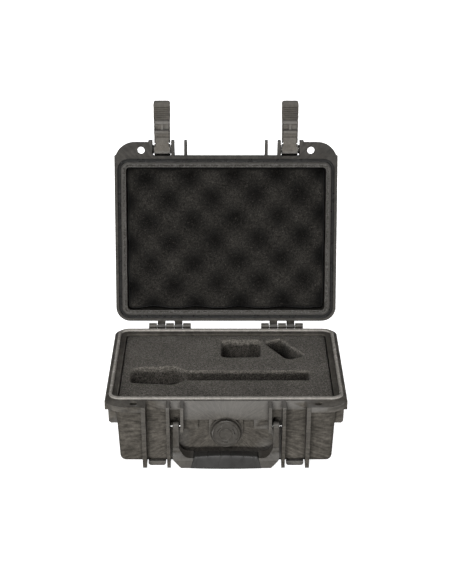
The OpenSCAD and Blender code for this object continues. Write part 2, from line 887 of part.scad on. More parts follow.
// Front outline in (x, z): the right half's points, then the same mirrored
module handle_front() {
    inside_r = 11;
    half = [[arm_outer - 15, handle_bottom], [arm_outer - 7.6, handle_bottom + 1.1],
        [arm_outer, handle_bottom + 10.2], [arm_outer, handle_z + eye_arm_r + 1]];
    difference() {
        polygon(concat(half, [for (i = [len(half) - 1 : -1 : 0]) [-half[i][0], half[i][1]]]));
        translate([-arm_inner, bar_top + inside_r])
            square([2 * arm_inner, handle_len + 20]);
        translate([-arm_inner + inside_r, bar_top])
            square([2 * (arm_inner - inside_r), handle_len]);
        both_sides()
            translate([arm_inner - inside_r, bar_top + inside_r])
                circle(r = inside_r);
    }
}

// Side outline in (y, z): eye, arm, step and bar
grip_front = handle_y - 12;
grip_back = grip_front + grip_d;
step_z = handle_z - 20.7;
module handle_side() {
    translate([handle_y, handle_z])
        circle(r = eye_arm_r);
    polygon([[handle_y - eye_arm_r, handle_z], [handle_y + eye_arm_r, handle_z],
        [handle_y + 3.4, step_z - 3], [grip_back, bar_top + bow - 2], [grip_back, handle_bottom + 4],
        [grip_back - 3, handle_bottom + 1], [grip_back - 7, handle_bottom],
        [grip_front + 3, handle_bottom], [grip_front + 0.8, handle_bottom + 1],
        [grip_front, handle_bottom + 4], [grip_front, bar_top - 2], [grip_front + 2.4, bar_top + bow],
        [handle_y - 6.2, step_z - 4], [handle_y - 6.2, step_z], [handle_y - 4.2, step_z + 1]]);
}

module handle_shape() {
    intersection() {
        translate([0, handle_y + 30, 0])
            rotate([90, 0, 0])
                linear_extrude(height = 60)
                    handle_front();
        along_x(0, 2 * arm_outer + 2)
            handle_side();
    }
}

// The length of bar that the soft grip covers, its ends slanted, less a gap at each end
module grip_zone(gap) {
    top = grip_top / 2 - gap;
    bottom = top + grip_flare / 2;
    translate([0, handle_y + 30, 0])
        rotate([90, 0, 0])
            linear_extrude(height = 60)
                polygon([[-bottom, handle_bottom - 2], [bottom, handle_bottom - 2],
                    [top, bar_top + 3], [-top, bar_top + 3]]);
}

core_w = 11;
core_h = 6;
module bar_core(gap) {
    translate([-arm_inner, (grip_front + grip_back - core_w) / 2 - gap,
        (handle_bottom + bar_top - core_h) / 2 - gap])
        cube([2 * arm_inner, core_w + 2 * gap, core_h + 2 * gap]);
}

module handle_frame() {
    color(rib_colour)
        difference() {
            union() {
                difference() {
                    handle_shape();
                    grip_zone(0);
                }
                bar_core(0);
            }
            both_sides()
                pin_hole(arm_inner - lap, arm_outer + lap, handle_y, handle_z,
                    handle_pin_r + pin_fit);
        }
}

module handle_grip() {
    color(rubber_colour)
        difference() {
            intersection() {
                handle_shape();
                grip_zone(0.1);
            }
            bar_core(0.05);
        }
}

module handle_pin(side) {
    inner = rib3_x - rib3_t / 2 + 0.2;
    outer = rib2_x + rib2_t / 2 - 0.2;
    color(steel_colour)
        mirror([side < 0 ? 1 : 0, 0, 0])
            pin(inner, outer, handle_y, handle_z, handle_pin_r);
}

// Turns a profile about the valve's axis, its z = 0 on the boss and +z to the front
module on_valve() {
    translate([0, boss_front, valve_z])
        rotate([90, 0, 0])
            children();
}

seal_h = 1.2;
flange_h = 1.5;
spigot_r = 5;
spigot_h = 2.5;
flange_top = seal_h + flange_h;
nut_gap = nut_r * tan(draft) + 0.1;
through = -wall_y(valve_down) + wall_t - boss_front + nut_gap;

module valve_body() {
    vent_r = 1.5;
    color(rubber_colour)
        on_valve()
            rotate_extrude()
                polygon([[vent_r, -through - nut_h - 1], [shank_r, -through - nut_h - 1],
                    [shank_r, seal_h], [shank_r + 4.4, seal_h], [shank_r + 4.4, flange_top],
                    [spigot_r, flange_top], [spigot_r, flange_top + spigot_h],
                    [vent_r, flange_top + spigot_h]]);
}

module valve_seal() {
    color(rubber_colour)
        on_valve()
            difference() {
                cylinder(r = shank_r + 3.6, h = seal_h);
                translate([0, 0, -lap])
                    cylinder(r = shank_r + pin_fit, h = seal_h + 2 * lap);
            }
}

module valve_nut() {
    color(case_colour)
        on_valve()
            translate([0, 0, -through - nut_h])
                difference() {
                    cylinder(r = nut_r, h = nut_h - 0.1, $fn = 6);
                    translate([0, 0, -lap])
                        cylinder(r = shank_r + pin_fit, h = nut_h + 2 * lap);
                }
}

// The knob: a cap with a sunk ring, a raised middle and three arc slots in its face
module valve_knob() {
    face = knob_h + 0.4;
    slot_r = 8.5;
    slot_arc = 38;
    color(rib_colour)
        on_valve()
            difference() {
                rotate_extrude()
                    polygon([[0, face], [5.6, face], [5.9, face - 0.4], [6.2, face - 0.4],
                        [6.5, face], [11.5, face], [11.8, face - 0.5], [12.2, face - 0.5],
                        [12.4, face], [knob_r - 2.2, face], [knob_r - 1.4, face - 0.8],
                        [knob_r - 1.2, 2.6], [knob_r, 2.2], [knob_r, 0.4],
                        [shank_r + 5.2, 0.4], [shank_r + 5.2, flange_top + 0.3],
                        [spigot_r + pin_fit, flange_top + 0.3],
                        [spigot_r + pin_fit, flange_top + spigot_h + 0.3],
                        [0, flange_top + spigot_h + 0.3]]);
                for (i = [0 : 2])
                    rotate(142 + 120 * i - slot_arc / 2)
                        translate([0, 0, face - 0.7])
                            rotate_extrude(angle = slot_arc)
                                translate([slot_r - 0.5, 0])
                                    square([1, 2]);
            }
}

base_shell();
base_foam();
base_foam_pad();
lid_shell();
lid_foam();
lid_gasket();
hinge_pin(-1);  // hinge_pin_left
hinge_pin(1);  // hinge_pin_right
latch_claw(-1);  // latch_claw_left
latch_claw(1);  // latch_claw_right
latch_lever(-1);  // latch_lever_left
latch_lever(1);  // latch_lever_right
latch_pin(-1);  // latch_pin_left
latch_pin(1);  // latch_pin_right
latch_link_pin(-1);  // latch_link_pin_left
latch_link_pin(1);  // latch_link_pin_right
handle_frame();
handle_grip();
handle_pin(-1);  // handle_pin_left
handle_pin(1);  // handle_pin_right
valve_body();
valve_knob();
valve_seal();
valve_nut();
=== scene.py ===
import json
import math

import bmesh
import bpy
import numpy as np
from mathutils import Matrix, Vector, noise


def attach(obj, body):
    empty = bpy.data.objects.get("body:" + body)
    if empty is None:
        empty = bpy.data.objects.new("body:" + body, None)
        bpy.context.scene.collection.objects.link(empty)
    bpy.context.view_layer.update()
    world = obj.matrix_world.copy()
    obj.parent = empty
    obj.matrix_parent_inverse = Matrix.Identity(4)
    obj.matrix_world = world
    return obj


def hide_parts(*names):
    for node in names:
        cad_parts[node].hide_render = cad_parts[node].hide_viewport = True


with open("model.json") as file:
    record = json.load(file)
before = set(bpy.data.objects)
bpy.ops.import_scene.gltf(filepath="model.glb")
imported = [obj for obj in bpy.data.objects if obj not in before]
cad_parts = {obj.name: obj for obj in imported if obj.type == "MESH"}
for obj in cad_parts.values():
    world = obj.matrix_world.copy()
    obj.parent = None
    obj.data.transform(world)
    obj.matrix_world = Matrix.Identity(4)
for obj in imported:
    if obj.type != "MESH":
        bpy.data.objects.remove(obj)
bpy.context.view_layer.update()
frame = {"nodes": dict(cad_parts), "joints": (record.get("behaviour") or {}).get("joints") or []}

MM = 0.001


# ---------------------------------------------------------------- places taken from the frame

def joint(name):
    """One of the frame's joints, by its name."""
    return next(j for j in frame["joints"] if j["name"] == name)


LID_HINGE = Vector(joint("lid_hinge")["pos_m"])
LID_ANGLE = math.radians(joint("lid_hinge")["range_deg"][1])

# Turns what is modelled on the closed case into the open lid's place
OPEN_LID = (Matrix.Translation(LID_HINGE) @ Matrix.Rotation(-LID_ANGLE, 4, "X")
            @ Matrix.Translation(-LID_HINGE))


# ---------------------------------------------------------------- node trees

class Tree:
    """A material's node tree with short calls for adding and linking nodes."""

    def __init__(self, name, rough, metallic=0.0):
        self.mat = bpy.data.materials.new(name)
        self.mat.use_nodes = True
        self.tree = self.mat.node_tree
        self.tree.nodes.clear()
        out = self.tree.nodes.new("ShaderNodeOutputMaterial")
        self.shader = self.tree.nodes.new("ShaderNodeBsdfPrincipled")
        self.tree.links.new(self.shader.outputs["BSDF"], out.inputs["Surface"])
        self.set("Roughness", rough)
        self.set("Metallic", metallic)
        self.height = None

    def set(self, socket, value):
        """Gives one of the shader's sockets a value or a link."""
        if isinstance(value, bpy.types.NodeSocket):
            self.tree.links.new(value, self.shader.inputs[socket])
        else:
            self.shader.inputs[socket].default_value = value

    def add(self, kind, inputs=None, **attributes):
        """A new node with its inputs, each a value or a link, and its attributes."""
        node = self.tree.nodes.new("ShaderNode" + kind)
        for key, value in attributes.items():
            setattr(node, key, value)
        for key, value in (inputs or {}).items():
            if isinstance(value, bpy.types.NodeSocket):
                self.tree.links.new(value, node.inputs[key])
            else:
                node.inputs[key].default_value = value
        return node

    def place(self, scale=(1, 1, 1)):
        """Object coordinates, scaled."""
        coord = self.add("TexCoord").outputs["Object"]
        mapping = self.add("Mapping", {"Vector": coord, "Scale": scale})
        return mapping.outputs["Vector"]

    def noise(self, scale, detail=2.0, rough=0.5, place=None):
        """Soft noise about 0.5, its scale per metre."""
        node = self.add("TexNoise", {"Vector": place or self.place(), "Scale": scale,
                                     "Detail": detail, "Roughness": rough})
        return node.outputs["Fac"]

    def cells(self, scale):
        """Distance to the nearest of scattered points."""
        node = self.add("TexVoronoi", {"Vector": self.place(), "Scale": scale}, feature="F1")
        return node.outputs["Distance"]

    def range(self, value, low, high, to_low=0.0, to_high=1.0):
        """A value's range mapped to another one, clamped at both ends."""
        node = self.add("MapRange", {"Value": value, "From Min": low, "From Max": high,
                                     "To Min": to_low, "To Max": to_high})
        return node.outputs["Result"]

    def math(self, operation, a, b=0.0):
        node = self.add("Math", {0: a, 1: b}, operation=operation)
        return node.outputs["Value"]

    def mix(self, factor, a, b, blend="MIX"):
        """Two colours mixed by a factor."""
        node = self.add("Mix", {"Factor": factor, "A": a, "B": b}, data_type="RGBA", blend_type=blend)
        node.inputs["Factor"].default_value = factor if isinstance(factor, float) else 0.5
        sockets = [s for s in node.inputs if s.type == "RGBA"]
        for socket, value in zip(sockets, (a, b)):
            if isinstance(value, bpy.types.NodeSocket):
                self.tree.links.new(value, socket)
            else:
                socket.default_value = value
        return [s for s in node.outputs if s.type == "RGBA"][0]

    def bump(self, height, distance, strength):
        """One more layer of relief, on top of those added before."""
        inputs = {"Height": height, "Distance": distance, "Strength": strength}
        if self.height is not None:
            inputs["Normal"] = self.height
        self.height = self.add("Bump", inputs).outputs["Normal"]
        self.set("Normal", self.height)


def tone(r, g, b):
    return (r, g, b, 1.0)


def grey(level, warmth=0.0):
    """A grey of a linear level, made warmer by a share of it."""
    return tone(level * (1 + warmth), level, level * (1 - 1.4 * warmth))


def times(t, colour, factor):
    """A colour multiplied by a grey factor that varies over the surface."""
    grey_factor = t.add("CombineColor", {"Red": factor, "Green": factor, "Blue": factor})
    return t.mix(1.0, colour, grey_factor.outputs["Color"], "MULTIPLY")


def painted_corner_shade(t, reach, darkest, closed=0.22, open_from=0.55):
    """Painted shade: a factor from ambient occlusion that falls towards darkest in corners and hollows.
    """
    hollow = t.add("AmbientOcclusion", {"Distance": reach * MM}, samples=6).outputs["AO"]
    return t.range(hollow, closed, open_from, darkest, 1.0)


# Strokes round the gate, their slow bending, and their length outwards and into the depth
STROKES = 40.0
STROKE_BEND = 7.0
STROKES_OUT = 75.0
STROKES_DEEP = 40.0


def flow_marks(t, centre_z):
    """Fine strokes that fan out from a moulding gate on the case's middle line, 0 to 1."""
    split = t.add("SeparateXYZ", {"Vector": t.place()})
    x = split.outputs["X"]
    z = t.math("SUBTRACT", split.outputs["Z"], centre_z * MM)
    bend = t.math("MULTIPLY", t.noise(14.0, detail=1.0), STROKE_BEND)
    angle = t.math("ADD", t.math("MULTIPLY", t.math("ARCTAN2", z, x), STROKES), bend)
    square = t.math("ADD", t.math("MULTIPLY", x, x), t.math("MULTIPLY", z, z))
    along = t.math("MULTIPLY", t.math("SQRT", square), STROKES_OUT)
    depth = t.math("MULTIPLY", split.outputs["Y"], STROKES_DEEP)
    polar = t.add("CombineXYZ", {"X": angle, "Y": along, "Z": depth}).outputs["Vector"]
    return t.range(t.noise(1.0, detail=3.0, rough=0.6, place=polar), 0.32, 0.68)


# What all moulded pieces share: scales of the patterns per metre, and tones
MOTTLE = 42.0
STIPPLE = 330.0
STIPPLE_SPREAD = 0.34
STREAK = 0.42
PIMPLES = 620.0
RUB = 120.0
FINE_GRAIN = 1400.0
SINK_MARKS = 55.0
# Share and grey of the painted edge highlight; the grey also lightens the pimples
EDGE_HIGHLIGHT_SHARE = 0.5
PIMPLE_AND_EDGE_HIGHLIGHT_GREY = grey(0.17, 0.03)


def plastic(name, dark, light, rough, grain, gate_z=None, spots=0.0, specular=0.5, shade=0.10,
            reach=7.0):
    """Moulded plastic: mottled and stippled, with flow marks and light pimples, a painted highlight on
    sharp edges and painted shade in corners and hollows.
    """
    t = Tree(name, rough)
    mottle = t.noise(MOTTLE, detail=6.0, rough=0.65)
    colour = t.mix(t.range(mottle, 0.32, 0.68), dark, light)
    stipple = t.noise(STIPPLE, detail=4.0, rough=0.75)
    spread = t.range(stipple, 0.3, 0.7, 1 - STIPPLE_SPREAD, 1 + STIPPLE_SPREAD)
    colour = times(t, colour, spread)
    if gate_z is not None:
        marks = flow_marks(t, gate_z)
        colour = times(t, colour, t.range(marks, 0.0, 1.0, 1 - STREAK, 1 + STREAK))
        t.bump(marks, 0.10 * MM, 0.5)
    if spots:
        pimples = t.range(t.noise(PIMPLES, detail=3.0, rough=0.8), 0.44, 0.62, 0.0, spots)
        colour = t.mix(pimples, colour, PIMPLE_AND_EDGE_HIGHLIGHT_GREY)
        t.bump(pimples, 0.12 * MM, 0.8)
    # painted highlight: sharp edges mixed towards a light grey
    edges = t.add("NewGeometry").outputs["Pointiness"]
    colour = t.mix(t.range(edges, 0.52, 0.60, 0.0, EDGE_HIGHLIGHT_SHARE), colour, PIMPLE_AND_EDGE_HIGHLIGHT_GREY)
    # painted shade: darker in corners and hollows
    colour = times(t, colour, painted_corner_shade(t, reach, shade))
    t.set("Base Color", colour)
    rub = t.noise(RUB, detail=4.0)
    t.set("Roughness", t.range(rub, 0.3, 0.7, rough - 0.07, rough + 0.09))
    t.set("Specular IOR Level", specular)
    t.bump(t.noise(FINE_GRAIN, detail=2.0), grain * MM, 0.8)
    t.bump(t.noise(SINK_MARKS, detail=3.0), 0.15 * MM, 0.4)
    return t.mat


def lid_depth(t):
    """The height that a place on the open lid has when the lid is closed, in metres."""
    across, forward, up, offset = OPEN_LID.inverted()[2]
    split = t.add("SeparateXYZ", {"Vector": t.place()})
    from_y = t.math("MULTIPLY", split.outputs["Y"], forward)
    from_z = t.math("MULTIPLY", split.outputs["Z"], up)
    return t.math("ADD", t.math("ADD", from_y, from_z), offset)


# The foams' cells per metre, the reach of their painted corner shade, and the closed lid's heights
# between which the painted shade of its waves darkens
FOAM_CELLS = 1100.0
FOAM_CLOUDS = 26.0
FOAM_SHADE_REACH = 24.0
PEAK_Z = 79.0
PIT_Z = 87.5


def foam(name, dark, light, speck_light, open_from, waves=False):
    """Open-cell foam: pits between fine struts, light specks and a soft uneven tone, with painted shade
    in its corners and hollows and, on the lid's waves, in their pits.
    """
    t = Tree(name, 0.95)
    cloud = t.noise(FOAM_CLOUDS, detail=4.0, rough=0.6)
    pores = t.cells(FOAM_CELLS)
    struts = t.noise(FOAM_CELLS * 1.4, detail=2.0, rough=0.7)
    clumps = t.noise(FOAM_CELLS * 0.42, detail=2.0, rough=0.7)
    colour = t.mix(t.range(cloud, 0.3, 0.7), dark, light)
    colour = times(t, colour, t.range(pores, 0.15, 0.7, 1.35, 0.45))
    colour = times(t, colour, t.range(clumps, 0.35, 0.65, 0.6, 1.4))
    if waves:
        # painted shade: the pits darker and the peaks lighter, by height on the closed lid
        colour = times(t, colour, t.range(lid_depth(t), PEAK_Z * MM, PIT_Z * MM, 1.4, 0.4))
    spot = t.range(t.noise(FOAM_CELLS * 0.8, detail=1.0), 0.62, 0.76, 0.0, 0.45)
    colour = t.mix(spot, colour, speck_light)
    # painted shade: darker in corners and hollows
    colour = times(t, colour, painted_corner_shade(t, FOAM_SHADE_REACH, 0.2, 0.3, open_from))
    t.set("Base Color", colour)
    t.set("Specular IOR Level", 0.12)
    t.set("Sheen Weight", 0.04)
    t.set("Sheen Roughness", 0.6)
    t.bump(pores, 0.45 * MM, 0.7)
    t.bump(struts, 0.3 * MM, 0.5)
    return t.mat


def rubber(name, level, rough, grain):
    """Soft moulded rubber: cloudy, lightly dusty, with a fine grain."""
    t = Tree(name, rough)
    cloud = t.noise(70.0, detail=4.0)
    colour = t.mix(t.range(cloud, 0.3, 0.7), grey(level * 0.8, 0.02), grey(level * 1.25, 0.02))
    dust = t.range(t.noise(420.0, detail=3.0), 0.6, 0.8, 0.0, 0.25)
    colour = t.mix(dust, colour, grey(level * 2.4, 0.03))
    t.set("Base Color", colour)
    t.set("Roughness", t.range(t.noise(160.0), 0.3, 0.7, rough - 0.06, rough + 0.08))
    t.bump(t.noise(1300.0), grain * MM, 0.5)
    return t.mat


def steel(name):
    """Turned pins, finely brushed round their axis along X."""
    t = Tree(name, 0.24, metallic=1.0)
    brushed = t.noise(240.0, detail=3.0, place=t.place((1, 14, 14)))
    t.set("Base Color", t.mix(t.range(brushed, 0.3, 0.7), grey(0.5, 0.01), grey(0.68, 0.01)))
    t.set("Roughness", t.range(t.noise(300.0), 0.3, 0.7, 0.18, 0.36))
    t.bump(brushed, 0.02 * MM, 0.4)
    return t.mat


# Heights of the moulding gates, on the base's front and on the open lid
BASE_GATE_Z = 45.0
LID_GATE_Z = 168.0

BASE_CASE = plastic("base_plastic", grey(0.049, 0.10), grey(0.070, 0.10), 0.42, 0.06,
                    gate_z=BASE_GATE_Z, specular=0.3)
LID_CASE = plastic("lid_plastic", grey(0.022, 0.09), grey(0.035, 0.09), 0.42, 0.06,
                   gate_z=LID_GATE_Z, specular=0.35)
# The tongue bead's plastic is far lighter than the base's: a painted highlight along the rim's rounded
# top
HIGHLIGHT_BEAD = plastic("bead_painted_highlight_plastic", grey(0.24, 0.06), grey(0.30, 0.06), 0.22, 0.02, specular=0.9,
               shade=0.7)
LAND = plastic("land_plastic", grey(0.022, 0.09), grey(0.033, 0.09), 0.38, 0.08, spots=0.5,
               specular=0.35)
CLAW = plastic("claw_plastic", grey(0.092, 0.09), grey(0.120, 0.09), 0.36, 0.03, shade=0.08)
LEVER = plastic("lever_plastic", grey(0.066, 0.09), grey(0.090, 0.09), 0.36, 0.04, shade=0.04)
HANDLE = plastic("handle_plastic", grey(0.044, 0.09), grey(0.060, 0.09), 0.42, 0.05,
                 specular=0.35, shade=0.08)
VALVE = plastic("valve_plastic", grey(0.036, 0.09), grey(0.050, 0.09), 0.36, 0.03, shade=0.04,
                reach=3.5, specular=0.35)
BASE_FOAM = foam("base_foam", grey(0.088, 0.09), grey(0.132, 0.09), grey(0.40, 0.08), 0.80)
LID_FOAM = foam("lid_foam", grey(0.012, 0.08), grey(0.020, 0.08), grey(0.09, 0.08), 0.90,
                waves=True)
GRIP = rubber("grip_rubber", 0.040, 0.46, 0.05)
SEAL = rubber("seal_rubber", 0.022, 0.30, 0.02)
STEEL = steel("polished_steel")


# ---------------------------------------------------------------- CAD nodes that stay

WELD_WITHIN = 0.01 * MM
FLAT_ANGLE = math.radians(0.5)
SHARP_ANGLE = math.radians(28)


def round_edges(obj, width):
    """Rounds an object's sharp edges with modifiers, by a width in millimetres."""
    bevel = obj.modifiers.new("bevel", "BEVEL")
    bevel.width = width * MM
    bevel.segments = 2
    bevel.limit_method = "ANGLE"
    bevel.angle_limit = SHARP_ANGLE
    normals = obj.modifiers.new("normals", "WEIGHTED_NORMAL")
    normals.weight = 60


def soften(node, width):
    """Rounds a CAD node's edges with modifiers; its own mesh stays as it is."""
    obj = frame["nodes"][node]
    weld = obj.modifiers.new("weld", "WELD")
    weld.merge_threshold = WELD_WITHIN
    flat = obj.modifiers.new("flat", "DECIMATE")
    flat.decimate_type = "DISSOLVE"
    flat.angle_limit = FLAT_ANGLE
    round_edges(obj, width)


def dress(node, mat):
    """Gives a CAD node its one material."""
    obj = frame["nodes"][node]
    obj.data.materials.clear()
    obj.data.materials.append(mat)


# The CAD nodes that stay, each with its material and the width of its rounded edges
KEPT = {
    "base_shell": (BASE_CASE, 0.4),
    "lid_shell": (LID_CASE, 0.4),
    "hinge_pin_left": (STEEL, 0.15),
    "hinge_pin_right": (STEEL, 0.15),
    "latch_pin_left": (STEEL, 0.15),
    "latch_pin_right": (STEEL, 0.15),
    "latch_link_pin_left": (STEEL, 0.15),
    "latch_link_pin_right": (STEEL, 0.15),
    "handle_frame": (HANDLE, 0.5),
    "handle_pin_left": (STEEL, 0.15),
    "handle_pin_right": (STEEL, 0.15),
    "valve_body": (VALVE, 0.2),
    "valve_knob": (VALVE, 0.25),
    "valve_seal": (SEAL, 0.2),
    "valve_nut": (VALVE, 0.3),
}
for node_name, (node_mat, edge_width) in KEPT.items():
    dress(node_name, node_mat)
    soften(node_name, edge_width)


# ---------------------------------------------------------------- new pieces

def new_object(name, mesh, mat):
    """A mesh as a smooth object of the scene, with one material."""
    obj = bpy.data.objects.new(name, mesh)
    bpy.context.scene.collection.objects.link(obj)
    mesh.materials.clear()
    mesh.materials.append(mat)
    for face in mesh.polygons:
        face.use_smooth = True
    return obj


def from_points(name, points, faces, mat, place=None):
    """A mesh piece from points in millimetres, put through a transform in metres."""
    mesh = bpy.data.meshes.new(name)
    place = place or Matrix.Identity(4)
    mesh.from_pydata([place @ (Vector(p) * MM) for p in points], [], faces)
    build = bmesh.new()
    build.from_mesh(mesh)
    bmesh.ops.recalc_face_normals(build, faces=build.faces)
    build.to_mesh(mesh)
    build.free()
    return new_object(name, mesh, mat)


def applied(obj):
    """Replaces an object's mesh with what its modifiers make of it."""
    graph = bpy.context.evaluated_depsgraph_get()
    mesh = bpy.data.meshes.new_from_object(obj.evaluated_get(graph))
    obj.modifiers.clear()
    obj.data = mesh
    for face in mesh.polygons:
        face.use_smooth = True
    return obj


# Widths of a cut foam's broad and small unevenness, in millimetres
BROAD_DENTS = 17
SMALL_DENTS = 5


def soft_copy(node, name, mat, voxel, wobble):
    """A foam piece from its CAD solid: fine even mesh, rubbed edges, slightly uneven faces."""
    obj = new_object(name, frame["nodes"][node].data.copy(), mat)
    weld = obj.modifiers.new("weld", "WELD")
    weld.merge_threshold = WELD_WITHIN
    remesh = obj.modifiers.new("remesh", "REMESH")
    remesh.mode = "VOXEL"
    remesh.voxel_size = voxel * MM
    smooth = obj.modifiers.new("smooth", "SMOOTH")
    smooth.factor = 0.5
    smooth.iterations = 2
    mesh = applied(obj).data
    count = len(mesh.vertices) * 3
    places = np.empty(count)
    normals = np.empty(count)
    mesh.vertices.foreach_get("co", places)
    mesh.vertices.foreach_get("normal", normals)
    for k in range(0, count, 3):
        at = Vector(places[k:k + 3]) * 1000
        small = noise.noise(at / SMALL_DENTS + Vector((40, 0, 0)))
        push = noise.noise(at / BROAD_DENTS) + 0.5 * small
        places[k:k + 3] -= normals[k:k + 3] * (push * 0.5 + 0.5) * wobble * MM
    mesh.vertices.foreach_set("co", places)
    mesh.update()
    return obj


def make_base_foam():
    """The base's cut insert and the plain pad below it."""
    insert = soft_copy("base_foam", "cut_foam_insert", BASE_FOAM, 1.4, 0.35)
    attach(insert, "base")
    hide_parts("base_foam")
    pad = soft_copy("base_foam_pad", "plain_foam_pad", BASE_FOAM, 2.5, 0.3)
    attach(pad, "base")
    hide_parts("base_foam_pad")


# The lid foam's sheet: size, place, waves, rounded edges and mesh, in millimetres on the closed case
LID_RIM = 74.3
LID_FOAM_W = 208.4
LID_FOAM_D = 151.4
LID_FOAM_BACK = 109.1
LID_FOAM_R = 4.0
PEAK_IN = 3.5
WAVE_H = 10.0
WAVE_PITCH = 46.0
WAVE_TURN = math.radians(3.1)
WAVE_PIT = (-11.7, 2.4)
DRAFT = math.tan(math.radians(3))
FACE_ROUND = 1.6
BACK_ROUND = 3.2
BACK_STEP = 0.9
SHEET_COLS = 120
SHEET_ROWS = 88


def wave_depth(x, y):
    """Depth of the sheet's face behind the rim: pits and peaks on a lattice, slightly turned."""
    dx = x - WAVE_PIT[0]
    dy = y - WAVE_PIT[1]
    across = math.cos(WAVE_TURN) * dx - math.sin(WAVE_TURN) * dy
    along = math.sin(WAVE_TURN) * dx + math.cos(WAVE_TURN) * dy
    hill = math.cos(2 * math.pi * across / WAVE_PITCH) * math.cos(2 * math.pi * along / WAVE_PITCH)
    # a real sheet's pits are tighter than its peaks
    hill = hill - 0.16 * (1 - hill * hill)
    rough = noise.noise(Vector((x / 9, y / 9, 3.0))) * 0.35
    return PEAK_IN + WAVE_H / 2 * (1 + hill) + rough


def to_round_corner(x, y, w, d, r):
    """A place in a rectangle about the origin, pulled in where it lies outside a rounded corner."""
    cx = w / 2 - r
    cy = d / 2 - r
    ox = max(abs(x) - cx, 0)
    oy = max(abs(y) - cy, 0)
    far = math.hypot(ox, oy)
    if ox > 0 and oy > 0 and far > r:
        return (math.copysign(cx + ox * r / far, x), math.copysign(cy + oy * r / far, y))
    return (x, y)


def sheet_face(w, d):
    """The sheet's waved face: its points, its faces and the points round its outline."""
    points, faces = [], []
    row = SHEET_COLS + 1
    for j in range(SHEET_ROWS + 1):
        for i in range(row):
            flat_x = (i / SHEET_COLS - 0.5) * w
            flat_y = (j / SHEET_ROWS - 0.5) * d
            x, y = to_round_corner(flat_x, flat_y, w, d, LID_FOAM_R)
            edge = min(w / 2 - abs(x), d / 2 - abs(y))
            droop = FACE_ROUND * max(0.0, 1 - edge / FACE_ROUND) ** 2
            points.append((x, y, LID_RIM + wave_depth(x, y) + droop))
            if i < SHEET_COLS and j < SHEET_ROWS:
                a = j * row + i
                faces.append((a, a + 1, a + row + 1, a + row))
    ring = [i for i in range(SHEET_COLS)]
    ring += [j * row + SHEET_COLS for j in range(SHEET_ROWS)]
    ring += [SHEET_ROWS * row + i for i in range(SHEET_COLS, 0, -1)]
    ring += [j * row for j in range(SHEET_ROWS, 0, -1)]
    return points, faces, ring


def make_lid_foam():
    """The lid's egg-crate sheet, with drafted sides and a flat back with rounded edges."""
    side_lean = (PEAK_IN + WAVE_H) * DRAFT
    w = LID_FOAM_W - 2 * side_lean
    d = LID_FOAM_D - 2 * side_lean
    points, faces, ring = sheet_face(w, d)
    count = len(ring)
    levels = ((BACK_ROUND, 0.0), (BACK_STEP, BACK_STEP), (0.0, BACK_ROUND))
    for before_back, chamfer in levels:
        z = LID_FOAM_BACK - before_back
        inset = (z - LID_RIM) * DRAFT + chamfer
        sx = (LID_FOAM_W - 2 * inset) / w
        sy = (LID_FOAM_D - 2 * inset) / d
        start = len(points)
        points += [(points[k][0] * sx, points[k][1] * sy, z) for k in ring]
        below = list(range(start, start + count))
        faces += [(ring[k], below[k], below[(k + 1) % count], ring[(k + 1) % count])
                  for k in range(count)]
        ring = below
    points.append((0, 0, LID_FOAM_BACK))
    faces += [(ring[k], len(points) - 1, ring[(k + 1) % count]) for k in range(count)]
    sheet = from_points("wave_foam_sheet", points, faces, LID_FOAM, OPEN_LID)
    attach(sheet, "lid")
    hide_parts("lid_foam")


# The rim's outline, on which the gasket lies
RIM_W = 233.0
RIM_D = 176.0
RIM_R = 15.0
BASE_RIM = 74.0
LAND_IN = 10.0
GASKET_IN = 4.8
GASKET_TOP = 79.1


def rim_path(inset, corner_steps=10):
    """Points and outward directions along the rim's outline at an inset."""
    r = max(RIM_R - inset, 1)
    cx = RIM_W / 2 - inset - r
    cy = RIM_D / 2 - inset - r
    path = []
    for quarter, (sx, sy) in enumerate(((1, 1), (-1, 1), (-1, -1), (1, -1))):
        for k in range(corner_steps + 1):
            angle = math.radians(90 * (quarter + k / corner_steps))
            out = (math.cos(angle), math.sin(angle))
            path.append(((sx * cx + r * out[0], sy * cy + r * out[1]), out))
    return path


def swept(section, inset, level):
    """Points and faces of a closed section, drawn as (outwards, up), carried round the rim."""
    path = rim_path(inset)
    points, faces = [], []
    count = len(section)
    for (x, y), (ox, oy) in path:
        points += [(x + ox * side, y + oy * side, level + up) for side, up in section]
    for k in range(len(path)):
        a = k * count
        b = ((k + 1) % len(path)) * count
        faces += [(a + i, b + i, b + (i + 1) % count, a + (i + 1) % count) for i in range(count)]
    return points, faces


def make_tongue():
    """The base's sealing tongue with its moulded round top, over the plain one of the shell."""
    half, top, round_r = 1.75, 2.3, 1.3
    section = [(-half, -0.2)]
    for k in range(9):
        angle = math.radians(180 - 22.5 * k)
        middle = -(half - round_r) if k < 4 else (half - round_r if k > 4 else 0)
        section.append((middle + round_r * math.cos(angle), top - round_r + round_r * math.sin(angle)))
    section.append((half, -0.2))
    points, faces = swept(section, GASKET_IN, BASE_RIM)
    # its light plastic is a painted highlight
    bead = from_points("tongue_bead", points, faces, HIGHLIGHT_BEAD)
    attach(bead, "base")


def make_lid_land():
    """The stippled land between the lid's groove and its foam, with a soft raised border."""
    section = [(1.75, 0.1), (1.75, -0.2), (1.5, -0.5), (1.1, -0.55), (0.85, -0.35), (-0.9, -0.3),
               (-1.3, -0.5), (-1.65, -0.45), (-1.8, -0.15), (-1.8, 0.1)]
    points, faces = swept(section, LAND_IN, LID_RIM)
    land = from_points("lid_land", points, faces, LAND, OPEN_LID)
    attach(land, "lid")


